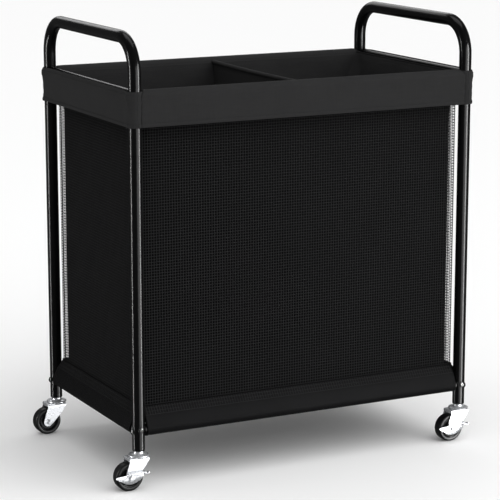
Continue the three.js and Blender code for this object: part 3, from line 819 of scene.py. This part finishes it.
def stitches(path, outward, name):
    """A row of thread stitches lying along a path of points, standing a little out of the cloth."""
    pitch, length, radius = 4 * MM, 2.8 * MM, 0.32 * MM
    path = np.asarray(path, float)
    outward = np.broadcast_to(np.asarray(outward, float), path.shape)
    steps = np.linalg.norm(np.diff(path, axis=0), axis=1)
    place = np.concatenate([[0], np.cumsum(steps)])
    shape = Shape()
    for start in np.arange(pitch / 2, place[-1] - length, pitch):
        stops = start + length * np.array([0, 0.15, 0.5, 0.85, 1])
        line = np.stack([np.interp(stops, place, path[:, i]) for i in range(3)], 1)
        out = np.stack([np.interp(stops, place, outward[:, i]) for i in range(3)], 1)
        line = line + out * (radius * np.array([-1.2, 0.1, 0.5, 0.1, -1.2]))[:, None]
        shape.add(sweep(line, radius * np.array([0.5, 1, 1, 1, 0.5]), 6))
    return piece(name, shape, "thread", sharp=0)


def long_band(side):
    """The cloth over a top rail: outer fall with a hem, the round over the rail, inner fall."""
    sign = SIDES[side]
    y0 = CENTRE.y + sign * HALF_Y
    reach, inner_gap = 11.7 * MM, 24 * MM
    fall = np.linspace(BAND_BOTTOM, TOP_RAIL.z, 46)[:-1]
    section = [(reach, z) for z in fall]
    section += [(u, z) for u, z in arc(0, TOP_RAIL.z, reach, 0, 180, 22)]
    section += [(-reach, z) for z in np.linspace(TOP_RAIL.z, BAND_BOTTOM + inner_gap, 16)[1:]]
    ends = [HALF_X - math.sqrt((SLEEVE_RADIUS + 0.2 * MM) ** 2 - u ** 2) for u, _ in section]
    share = -sign * np.linspace(-1, 1, 260)
    grid = np.array([[(CENTRE.x + end * t, y0 + sign * u, z) for t in share]
                     for (u, z), end in zip(section, ends)])
    z = grid[..., 2]
    from_end = np.array(ends)[:, None] - np.abs(grid[..., 0] - CENTRE.x)
    free = np.clip((TOP_RAIL.z + 4 * MM - z) / (40 * MM), 0, 1)
    lift = wander(grid * (1, 1, 0.55), 11, 3.1 * sign) * 1.0 * MM * free
    lift += wander(grid * (1, 1, 0.8), 34, 7.7 * sign) * 0.35 * MM * free
    pull = ridge(from_end, 0, 22 * MM)
    lift += pull * wander(grid * (1, 1, 2.2), 60, 1.9) * 0.8 * MM
    lift -= ridge(from_end, 0, 2 * MM) * 0.5 * MM
    lift += 0.4 * MM * (z < BAND_BOTTOM + HEM) - 0.4 * MM * ridge(z, BAND_BOTTOM + HEM, 1.3 * MM)
    lift -= 0.8 * MM * ridge(z, BAND_BOTTOM, 0.8 * MM)
    shape = Shape().add(cloth_grid(grid, CLOTH, lift=lift))
    band = piece(f"cloth_band_{side}", shape, "band",
                 sharp=0, replaces=[f"top_band_{side}"])
    row = int(np.argmin(np.abs(fall - (BAND_BOTTOM + HEM))))
    seam = (grid + grid_normals(grid) * lift[..., None])[row]
    thread = stitches(seam[2:-2], (0, sign, 0), f"hem_stitches_{side}")


def loop_plan(half_x, half_y, radius, straight_x, straight_y, turn_steps):
    """Points and outward directions round a rounded rectangle, anticlockwise from +X."""
    points, outs = [], []
    for sx, sy, start in ((1, 1, 0), (-1, 1, 90), (-1, -1, 180), (1, -1, 270)):
        centre = np.array([sx * (half_x - radius), sy * (half_y - radius)])
        turns = arc(0, 0, 1, start, start + 90, turn_steps)
        points.extend(centre + radius * turns)
        outs.extend(turns)
        half, run = (half_x, straight_x) if start % 180 == 0 else (half_y, straight_y)
        heading = math.radians(start + 90)
        step = np.array([-math.sin(heading), math.cos(heading)])
        for t in np.linspace(0, 1, run + 1)[1:-1]:
            points.append(centre + radius * turns[-1] + step * 2 * (half - radius) * t)
            outs.append(turns[-1])
    return np.array(points), np.array(outs)


def level_loop(plan, z):
    """A plan drawn about the cart's middle, as points at one height."""
    return np.column_stack([plan + MIDDLE, np.full(len(plan), z)])


def bag_loop(inset, radius, z):
    """A level loop of the bag's cloth, inset from the posts' axes, with rounded corners."""
    plan, _ = loop_plan(HALF_X - inset, HALF_Y - inset, radius, 60, 34, 10)
    return level_loop(plan, z)


def end_band(end):
    """The loop of cloth round both posts of one end, open along the top over the bar."""
    sign = ENDS[end]
    x0 = CENTRE.x + sign * HALF_X
    plan, out = loop_plan(SLEEVE_RADIUS, HALF_Y + SLEEVE_RADIUS, SLEEVE_RADIUS, 2, 150, 16)
    rows = np.concatenate([np.linspace(BAND_BOTTOM, BAND_TOP - 6 * MM, 44),
                           np.linspace(BAND_TOP - 5 * MM, BAND_TOP + 1.5 * MM, 8)])
    at_post = smoothstep(HALF_Y - 26 * MM, HALF_Y, np.abs(plan[:, 1]))
    inner_drop = 3.5 * MM * (out[:, 0] * sign < -0.7)
    grid = np.zeros((len(rows), len(plan), 3))
    for i, z in enumerate(rows):
        height = (z - BAND_BOTTOM) / (rows[-1] - BAND_BOTTOM)
        near_top = max(0.0, (z - (BAND_TOP - 8 * MM)) / (9.5 * MM))
        inward = (1 - at_post) * 0.9 * MM + at_post * near_top ** 2 * 1.7 * MM
        grid[i, :, :2] = plan - out * inward[:, None] + (x0, CENTRE.y)
        grid[i, :, 2] = z - inner_drop * height * (1 - at_post) - at_post * near_top * 1.2 * MM
    z = grid[..., 2]
    outer_side = np.broadcast_to(out[:, 0] * sign > 0.7, z.shape)
    free = 1 - at_post
    height = np.clip((z - BAND_BOTTOM) / (BAND_TOP - BAND_BOTTOM), 0, 1)
    swell = free * np.sin(math.pi * np.clip(height, 0.05, 1))
    lift = wander(grid * (1, 1, 0.6), 14, 5.3 * sign) * 1.1 * MM * swell
    lift += wander(grid * (1, 1, 1.8), 70, 2.2 * sign) * 0.55 * MM * at_post
    lift += wander(grid * (0.5, 0.5, 2.6), 46, 9.1) * 0.7 * MM * at_post * np.abs(out[:, 0])
    for side_y in (-1, 1):
        post_y = CENTRE.y + side_y * HALF_Y
        bolt_head = np.hypot(grid[..., 1] - post_y, (z - TOP_RAIL.z) * 0.75)
        lift += outer_side * 3.2 * MM * ridge(bolt_head, 0, 7.5 * MM)
        tuck = np.hypot(grid[..., 1] - post_y - side_y * 2 * MM, z - BAND_BOTTOM - 3 * MM)
        lift += outer_side * 1.1 * MM * ridge(tuck, 0, 5 * MM)
        fold = np.hypot(grid[..., 1] - post_y - side_y * SLEEVE_RADIUS, grid[..., 0] - x0 + sign * 9 * MM)
        lift -= 0.8 * MM * ridge(fold, 0, 2.2 * MM)
    hem_z, lip_z = BAND_BOTTOM + HEM, BAND_TOP - 4.5 * MM
    lift += 0.45 * MM * (z < hem_z) - 0.5 * MM * ridge(z, hem_z, 1.1 * MM)
    lift -= 0.7 * MM * ridge(z, BAND_BOTTOM, 0.8 * MM)
    lift += (0.35 * MM * (z > lip_z) - 0.5 * MM * ridge(z, lip_z, 1.0 * MM)) * free
    shape = Shape().add(cloth_grid(grid, CLOTH, closed=True, lift=lift))
    band = piece(f"cloth_band_{end}", shape, "band",
                 sharp=0, replaces=[f"top_band_{end}"])
    surface = grid + grid_normals(grid, True) * lift[..., None]
    direction = np.column_stack([out, np.zeros(len(out))])
    direction = np.vstack([direction, direction[:1]])
    for label, level in (("hem", hem_z), ("lip", lip_z)):
        row = surface[int(np.argmin(np.abs(rows - level)))]
        stitches(np.vstack([row, row[:1]]), direction, f"{label}_stitches_{end}")


def bag_facing():
    """The grey cloth that lines the mouth, from under the bands' lips down to the black lining."""
    bend_z = 630
    rows = np.concatenate([np.linspace(FACING_END, bend_z - 5, 14), np.linspace(bend_z, FACING_TOP, 20)])
    grids = []
    for z in rows:
        inset = (11.2 + 1.5 * smoothstep(FACING_TOP, 672, z) + 2.6 * smoothstep(675, bend_z, z)) * MM
        radius = (12 + 18 * smoothstep(FACING_TOP, bend_z, z)) * MM
        grids.append(bag_loop(inset, radius, z * MM))
    rows = rows * MM
    grid = np.array(grids)
    z = grid[..., 2]
    fixed = smoothstep(rows[0], rows[0] + 40 * MM, z) * smoothstep(rows[-1], rows[-1] - 30 * MM, z)
    waves = 2.2 * MM * fixed
    lift = (wander(grid * (1, 1, 0.4), 16, 2.7) - 0.6) * waves
    lift += wander(grid * (1, 1, 0.15), 48, 6.7) * 0.25 * waves
    lift -= 0.5 * MM * ridge(z, FACING_SEAM * MM, 1.2 * MM)
    shape = Shape().add(cloth_grid(grid, CLOTH, closed=True, lift=lift))
    facing = piece("mouth_facing", shape, "band", sharp=0)


def bag_lining():
    bottom = FLOOR_TOP - CLOTH
    bend = 8 * MM
    wall = np.concatenate([np.linspace(bottom + bend, 200 * MM, 12), np.linspace(215 * MM, LINING_TOP, 34)])
    inset_wall, corner = 12.5 * MM, 24 * MM
    levels = [(inset_wall + bend * (1 - math.sin(a)), bottom + bend * (1 - math.cos(a)))
              for a in np.radians((15, 35, 55, 75))]
    levels += [(inset_wall + 1.5 * MM * smoothstep(175 * MM, bottom, z), z) for z in wall]
    grids = []
    for inset, z in levels:
        radius = corner - (inset - inset_wall) * 0.5
        grids.append(bag_loop(inset, radius, z))
    grid = np.array(grids)
    z = grid[..., 2]
    fixed = smoothstep(125 * MM, 190 * MM, z) * smoothstep(LINING_TOP, LINING_TOP - 32 * MM, z)
    lift = (wander(grid * (1, 1, 0.35), 12, 6.4) - 0.8) * 0.6 * MM * fixed
    lift += wander(grid * (1, 1, 0.2), 40, 1.4) * 0.25 * MM * fixed
    normals = grid_normals(grid, True)
    outer = grid + normals * lift[..., None]
    floor = []
    for share in (0.05, 0.3, 0.6, 0.85, 0.97):
        ring = outer[0].copy()
        ring[:, :2] = MIDDLE + (ring[:, :2] - MIDDLE) * share
        ring[:, 2] = bottom + 0.15 * MM * (1 - share)
        floor.append(ring)
    inside = [*(outer - normals * CLOTH)[::-1], *[ring + (0, 0, CLOTH) for ring in floor[::-1]]]
    shape = Shape().add(loft([*floor, *outer, *inside]))
    lining = piece("lining_bag", shape, "lining",
                   sharp=0, replaces=["bag_lining"])


def divider():
    """The cloth wall between the compartments, hemmed round a cord along its top edge."""
    roll = 4 * MM
    top = DIVIDER_TOP - roll
    half = 0.8 * MM
    reach = HALF_Y - 12.8 * MM
    sag = 1.6 * MM
    y = np.linspace(-reach, reach, 90)
    low = FLOOR_TOP + 1.5 * MM
    levels = np.linspace(low, top - roll * 0.98, 46)
    section = [(-half, z) for z in levels]
    section += [(u, z) for u, z in arc(0, top, roll, 258, -78, 26)]
    section += [(half, z) for z in levels[::-1]]
    rings = []
    for py in y:
        slack = 1 - (py / reach) ** 2
        ring = []
        for u, z in section:
            drop = sag * slack * smoothstep(low, top - 60 * MM, z)
            narrower = 1 - smoothstep(676 * MM, 628 * MM, z) * 3.2 * MM / reach
            sway = noise.noise(Vector((py * 9, z * 7, 1.7))) * 3 * MM * slack * min(1, (z - low) * 14)
            sway *= 1 - 0.8 * smoothstep(top - 50 * MM, top, z)
            ring.append((CENTRE.x + u + sway, CENTRE.y + py * narrower, z - drop))
        rings.append(ring)
    shape = Shape().add(loft(rings))
    sheet = piece("divider_wall", shape, "band", sharp=60,
                  replaces=["divider"])
    for name, out in (("left", -1), ("right", 1)):
        line = [(CENTRE.x + out * half, CENTRE.y + py, top - 7.5 * MM - sag * (1 - (py / reach) ** 2))
                for py in y[2:-2]]
        stitches(line, (out, 0, 0), f"divider_stitches_{name}")


def base_sleeve(where, along, sign, rail_z):
    """Cloth round a bottom rail, sloping in and up to the seam under the net; along is 0 for X,
    1 for Y."""
    across, reach = 1 - along, (HALF_X, HALF_Y)
    end_gap, hem = 12.4 * MM, 5 * MM
    half = reach[along] - end_gap
    around = RAIL + 1.2 * MM
    seam = np.array((-10.6 * MM, SEAM_Z - rail_z))
    tangent = math.atan2(seam[1], -seam[0])
    lean = math.acos(around / math.hypot(*seam))
    leave = math.pi - tangent - lean
    away = np.array([math.cos(leave), math.sin(leave)])
    touch = away * around
    section = [seam * (1 - t) + touch * t + away * 2 * MM * math.sin(math.pi * t)
               for t in np.linspace(0, 1, 16)]
    section += list(arc(0, 0, around, math.degrees(leave), -180, 36)[1:])
    section += [(-around - 2 * MM, 3 * MM), (-around - 4 * MM, 5.5 * MM)]
    section = np.array(section)
    run = np.linspace(-half, half, (220, 130)[along])
    if (along == 0) != (sign > 0):
        run = run[::-1]
    grid = np.zeros((len(section), len(run), 3))
    grid[..., along] = CENTRE[along] + run
    grid[..., across] = CENTRE[across] + sign * (reach[across] + section[:, :1])
    grid[..., 2] = rail_z + section[:, 1:]
    from_end = half - np.abs(grid[..., along] - CENTRE[along])
    place = np.linspace(0, 1, len(section))[:, None]
    soft = np.sin(math.pi * np.clip(place / 0.4, 0, 1))
    lift = wander(grid * (1, 1, 1.3), 22, 4.4 * sign) * 0.9 * MM * soft
    lift += wander(grid * (0.5, 0.5, 2.5), 55, 8.2) * 0.5 * MM * ridge(from_end, 0, 26 * MM)
    lift -= 0.5 * MM * ridge(from_end, hem, 1.1 * MM) - 0.3 * MM * (from_end < hem)
    shape = Shape().add(cloth_grid(grid, CLOTH, lift=lift))
    sleeve = piece(f"cloth_sleeve_{where}", shape, "base",
                   sharp=0, replaces=[f"base_sleeve_{where}"])


def base_board():
    board = middle("base_board")
    size = extent("base_board")
    outline = rounded_box_outline(-size.x / 2, -size.y / 2, size.x / 2, size.y / 2, 30 * MM)
    surface = rounded_slab(outline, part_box("base_board")[0].z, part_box("base_board")[1].z, 1.2 * MM)
    shape = Shape().add(placed(surface, at=(board.x, board.y, 0)))
    piece("covered_board", shape, "base", replaces=["base_board"])


def add_net():
    """Cords both ways at an even pitch: upright ones down each wall, level ones round the bag."""
    pitch, radius = 5 * MM, 0.5 * MM
    inset, corner = 11.4 * MM, 2.5 * MM
    top, bottom = BAND_BOTTOM + 4 * MM, SEAM_Z - 14 * MM
    shape = Shape()
    plan, out = loop_plan(HALF_X - inset, HALF_Y - inset, corner, 40, 24, 4)
    square = np.clip((np.abs(out).max(1) - 0.71) / 0.29, 0, 1) ** 2

    def flare(z):
        return max(0, 0.9 * MM + 0.8 * (SEAM_Z - z)) * smoothstep(SEAM_Z + 2 * MM, SEAM_Z - MM, z)

    steps = np.linalg.norm(np.roll(plan, -1, 0) - plan, axis=1)
    place = np.concatenate([[0], np.cumsum(steps)])
    around = place[-1]
    columns = np.column_stack([plan, out, square])
    columns = np.vstack([columns, columns[:1]])
    heights = np.concatenate([np.linspace(top, SEAM_Z + 2 * MM, 9), np.linspace(SEAM_Z, bottom, 4)])
    for s in np.arange(round(around / pitch)) * around / round(around / pitch):
        px, py, ox, oy, straight = (np.interp(s, place, column) for column in columns.T)
        shifts = [flare(z) * straight + radius * 0.8 for z in heights]
        line = [(CENTRE.x + px + ox * d, CENTRE.y + py + oy * d, z) for d, z in zip(shifts, heights)]
        shape.add(sweep(line, radius, 4))
    outs = np.column_stack([out, np.zeros(len(out))])
    for z in np.arange(bottom, top, pitch):
        ring = plan + out * (flare(z) * square)[:, None]
        shape.add(hoop(level_loop(ring, z), outs, radius, 4))
    net = piece("net_bag", shape, "net", sharp=0, replaces=["bag_net"])
    binding = hoop(level_loop(plan + out * 2 * MM, SEAM_Z), outs, 1.3 * MM, sides=10, flat=0.7)
    piece("seam_binding", Shape().add(binding), "lining", sharp=0)


def add_cloth():
    for side in SIDES:
        long_band(side)
    for end in ENDS:
        end_band(end)
    bag_facing()
    bag_lining()
    divider()
    for side, sign in SIDES.items():
        base_sleeve(side, 0, sign, LONG_RAIL.z)
    for end, sign in ENDS.items():
        base_sleeve(end, 1, sign, SHORT_RAIL.z)
    base_board()
    add_net()


# ---------- studio ----------

def add_light(name, kind, at, aim, power):
    data = bpy.data.lights.new(name, kind)
    data.energy = power
    light = bpy.data.objects.new(name, data)
    light.location = at
    light.rotation_euler = (Vector(aim) - Vector(at)).to_track_quat("-Z", "Y").to_euler()
    bpy.context.scene.collection.objects.link(light)
    return light


def strip_light(name, at, aim, size, brightness):
    """A panel that shows only as a reflection; brightness is its radiance."""
    power = brightness * math.pi * size[0] * size[1]
    light = add_light(name, "AREA", at, aim, power)
    light.data.shape = "RECTANGLE"
    light.data.size, light.data.size_y = size
    light.visible_diffuse = False
    light.visible_camera = False


WORLD_LIGHT = 0.66    # strength of the white surroundings on matt surfaces
WORLD_GLOSS = 0.1     # and as seen in reflections


def add_world():
    """White behind the cart, softer light on cloth, and a dim room in reflections."""
    world = bpy.data.worlds.new("studio")
    world.use_nodes = True
    tree = world.node_tree
    path = tree.nodes.new("ShaderNodeLightPath")
    result = tree.nodes["Background"].outputs["Background"]
    tree.nodes["Background"].inputs["Color"].default_value = (1, 1, 1, 1)
    tree.nodes["Background"].inputs["Strength"].default_value = WORLD_LIGHT
    for ray, strength in (("Is Glossy Ray", WORLD_GLOSS), ("Is Camera Ray", 1.0)):
        background = add_node(tree, "ShaderNodeBackground", Strength=strength, Color=(1, 1, 1, 1))
        mix = tree.nodes.new("ShaderNodeMixShader")
        tree.links.new(path.outputs[ray], mix.inputs["Fac"])
        tree.links.new(result, mix.inputs[1])
        tree.links.new(background.outputs["Background"], mix.inputs[2])
        result = mix.outputs["Shader"]
    tree.links.new(result, tree.nodes["World Output"].inputs["Surface"])
    bpy.context.scene.world = world


def add_studio():
    reach = 12
    mesh = bpy.data.meshes.new("floor")
    corners = [(reach * x, reach * y, 0) for x, y in ((-1, -1), (1, -1), (1, 1), (-1, 1))]
    mesh.from_pydata(corners, [], [(0, 1, 2, 3)])
    floor = bpy.data.objects.new("floor", mesh)
    bpy.context.scene.collection.objects.link(floor)
    material, _, _ = principled("pale_floor", (0.9, 0.9, 0.9), 0.9)
    mesh.materials.append(material)
    floor.visible_glossy = False
    add_world()
    key = add_light("key", "SUN", (0.35, -0.6, 0.72), (0, 0, 0), 2.1)
    key.data.angle = math.radians(90)
    key.visible_glossy = False
    strip_light("right_strip", (0.78, -1.06, 0.3), (0.0, -0.19, 0.3), (0.28, 1.6), 38)
    strip_light("front_panel", (0.25, -1.55, 0.3), (-0.31, -0.19, 0.3), (1.2, 1.6), 5)
    strip_light("left_strip", (-1.5, 0.27, 0.3), (-0.31, 0.0, 0.3), (0.10, 1.6), 62)
    strip_light("overhead", (0.2, 0.2, 2.4), (0, 0, 0.6), (1.8, 1.0), 2)
    strip_light("back_strip", (0.7, 2.6, 2.05), (0, 0, 0.78), (2.6, 1.0), 2.2)
    bpy.context.scene.view_settings.view_transform = "Standard"


# ---------- the cart ----------

add_camera()
add_materials()
for corner in CORNERS:
    post(corner)
for end in ENDS:
    handle(end)
    crossbar(end)
add_rails()
add_bolts()
add_casters()
add_cloth()
add_studio()
